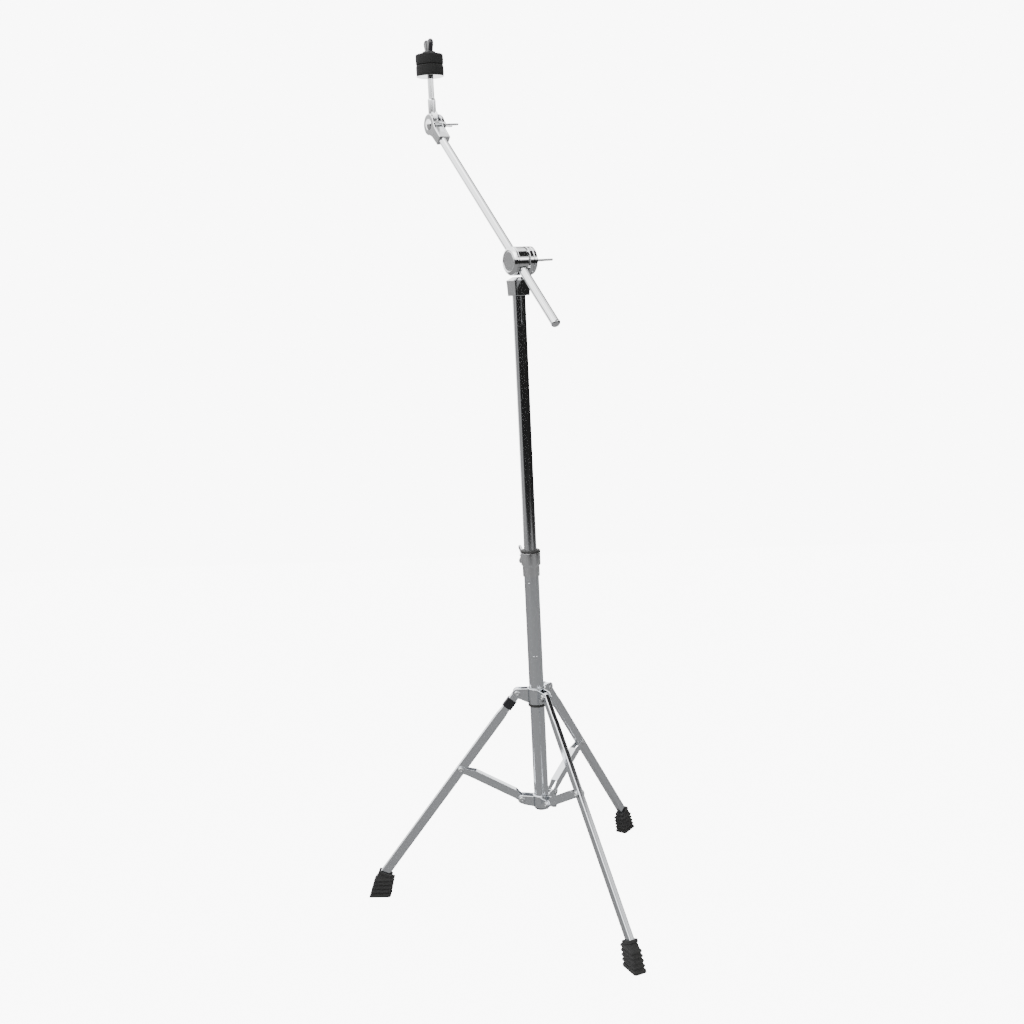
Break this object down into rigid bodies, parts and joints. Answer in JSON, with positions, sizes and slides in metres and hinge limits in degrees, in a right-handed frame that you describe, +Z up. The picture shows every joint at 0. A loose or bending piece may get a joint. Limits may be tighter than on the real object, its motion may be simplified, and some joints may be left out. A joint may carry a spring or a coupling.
{
  "type": "boom cymbal stand",
  "caption": "Folding tripod stand with a telescoping mast, ratchet tilter, sliding boom arm and a tilting rod whose felts hold a cymbal.",
  "frame": {"origin": "on the mast's axis at floor level", "axes": "+Z up along the mast; the legs point to azimuths 180, 300 and 60 degrees; the boom leans towards azimuth 124.5 degrees"},
  "size_m": [0.4261, 0.4912, 1.3159],
  "materials": {
    "tube_chrome": "bright chrome plate on drawn steel",
    "mast_chrome": "mirror chrome plate",
    "bright_chrome": "mirror chrome plate on steel and cast parts",
    "steel": "zinc plated",
    "black_nylon": "moulded nylon",
    "black_rubber": "moulded rubber, ribbed",
    "black_felt": "pressed wool felt",
    "black_plastic": "moulded plastic, satin",
    "band_black": "plain glossy band, no marking"
  },
  "bodies": {
    "base": {"base_tube": "tube_chrome", "base_tube_plug": "black_nylon", "lower_bracket": "tube_chrome", "strut_hinge_rivets": "steel", "height_clamp": "bright_chrome"},
    "collar": {"leg_collar": "tube_chrome", "leg_collar_bush": "black_nylon", "leg_hinge_rivets": "steel"},
    "collar_screw": {"leg_collar_screw": "bright_chrome"},
    "clamp_screw": {"height_clamp_screw": "bright_chrome"},
    "swivel_bush": {"height_bush": "black_nylon"},
    "mast": {"middle_tube": "mast_chrome", "middle_tube_guide": "black_nylon", "tilter_base": "bright_chrome", "tilter_shim": "steel", "tilter_outer_washer": "bright_chrome"},
    "holder": {"boom_holder": "bright_chrome", "boom_holder_cap": "bright_chrome", "eye_bolt": "steel"},
    "tilter_nut": {"tilter_wing_nut": "bright_chrome"},
    "liner": {"boom_liner": "black_nylon"},
    "boom": {"boom_arm": "bright_chrome", "boom_end_cap": "bright_chrome", "boom_yoke": "bright_chrome", "rod_hinge_bolt": "bright_chrome", "rod_hinge_washer": "bright_chrome"},
    "rod_nut": {"rod_wing_nut": "bright_chrome"},
    "rod": {"cymbal_rod": "bright_chrome", "seat_washer": "bright_chrome", "cymbal_sleeve": "black_nylon", "lower_felt": "black_felt"},
    "felt": {"upper_felt": "black_felt"},
    "cymbal_nut": {"top_wing_nut": "black_plastic"},
    "leg_1": {"leg_1": "tube_chrome", "foot_1": "black_rubber", "leg_band": "band_black"},
    "strut_1": {"strut_1": "tube_chrome", "strut_outer_rivets_1": "steel"},
    "leg_2": {"leg_2": "tube_chrome", "foot_2": "black_rubber"},
    "strut_2": {"strut_2": "tube_chrome", "strut_outer_rivets_2": "steel"},
    "leg_3": {"leg_3": "tube_chrome", "foot_3": "black_rubber"},
    "strut_3": {"strut_3": "tube_chrome", "strut_outer_rivets_3": "steel"}
  },
  "joints": [
    {"name": "tripod_fold", "type": "slide", "parent": "base", "child": "collar", "axis": [0, 0, 1], "range_m": [0, 0.08531]},
    {"name": "leg_1_hinge", "type": "hinge", "parent": "collar", "child": "leg_1", "pos_m": [-0.0295, 0, 0.328], "axis": [0, 1, 0], "range_deg": [-32.49, 0]},
    {"name": "strut_1_hinge", "type": "hinge", "parent": "base", "child": "strut_1", "pos_m": [-0.0295, 0, 0.1581], "axis": [0, 1, 0], "range_deg": [0, 54.62]},
    {"name": "leg_2_hinge", "type": "hinge", "parent": "collar", "child": "leg_2", "pos_m": [0.01475, -0.02555, 0.328], "axis": [-0.866, -0.5, 0], "range_deg": [-32.49, 0]},
    {"name": "strut_2_hinge", "type": "hinge", "parent": "base", "child": "strut_2", "pos_m": [0.01475, -0.02555, 0.1581], "axis": [-0.866, -0.5, 0], "range_deg": [0, 54.62]},
    {"name": "leg_3_hinge", "type": "hinge", "parent": "collar", "child": "leg_3", "pos_m": [0.01475, 0.02555, 0.328], "axis": [0.866, -0.5, 0], "range_deg": [-32.49, 0]},
    {"name": "strut_3_hinge", "type": "hinge", "parent": "base", "child": "strut_3", "pos_m": [0.01475, 0.02555, 0.1581], "axis": [0.866, -0.5, 0], "range_deg": [0, 54.62]},
    {"name": "collar_screw_turn", "type": "hinge", "parent": "collar", "child": "collar_screw", "pos_m": [-0.0106, 0.01696, 0.323], "axis": [-0.5299, 0.848, 0], "continuous": true},
    {"name": "clamp_screw_turn", "type": "hinge", "parent": "base", "child": "clamp_screw", "pos_m": [-0.0106, 0.01696, 0.53735], "axis": [-0.5299, 0.848, 0], "continuous": true},
    {"name": "mast_swivel", "type": "hinge", "parent": "base", "child": "swivel_bush", "pos_m": [0, 0, 0.53], "axis": [0, 0, 1], "continuous": true},
    {"name": "mast_height", "type": "slide", "parent": "swivel_bush", "child": "mast", "axis": [0, 0, 1], "range_m": [-0.32, 0.015]},
    {"name": "boom_tilt", "type": "hinge", "parent": "mast", "child": "holder", "pos_m": [0, 0, 0.9712], "axis": [0.8241, 0.5664, 0], "range_deg": [-43, 6]},
    {"name": "tilter_nut_turn", "type": "hinge", "parent": "holder", "child": "tilter_nut", "pos_m": [0.02472, 0.01699, 0.9712], "axis": [0.8241, 0.5664, 0], "continuous": true},
    {"name": "boom_twist", "type": "hinge", "parent": "holder", "child": "liner", "pos_m": [0, 0, 0.9712], "axis": [-0.4142, 0.6027, 0.682], "continuous": true},
    {"name": "boom_extend", "type": "slide", "parent": "liner", "child": "boom", "axis": [-0.4142, 0.6027, 0.682], "range_m": [-0.25, 0.1]},
    {"name": "rod_tilt", "type": "hinge", "parent": "boom", "child": "rod", "pos_m": [-0.13227, 0.19245, 1.18896], "axis": [0.8241, 0.5664, 0], "range_deg": [-130, 40]},
    {"name": "rod_nut_turn", "type": "hinge", "parent": "boom", "child": "rod_nut", "pos_m": [-0.11579, 0.20378, 1.18896], "axis": [0.8241, 0.5664, 0], "continuous": true},
    {"name": "upper_felt_lift", "type": "slide", "parent": "rod", "child": "felt", "axis": [0, 0, 1], "range_m": [0, 0.03]},
    {"name": "top_nut_turn", "type": "hinge", "parent": "felt", "child": "cymbal_nut", "pos_m": [-0.13227, 0.19245, 1.29896], "axis": [0, 0, 1], "continuous": true}
  ],
  "couplings": [
    {"joint": "leg_1_hinge", "follows": "tripod_fold", "rad_per_m": -6.6454},
    {"joint": "strut_1_hinge", "follows": "tripod_fold", "rad_per_m": 11.173},
    {"joint": "leg_2_hinge", "follows": "tripod_fold", "rad_per_m": -6.6454},
    {"joint": "strut_2_hinge", "follows": "tripod_fold", "rad_per_m": 11.173},
    {"joint": "leg_3_hinge", "follows": "tripod_fold", "rad_per_m": -6.6454},
    {"joint": "strut_3_hinge", "follows": "tripod_fold", "rad_per_m": 11.173}
  ]
}
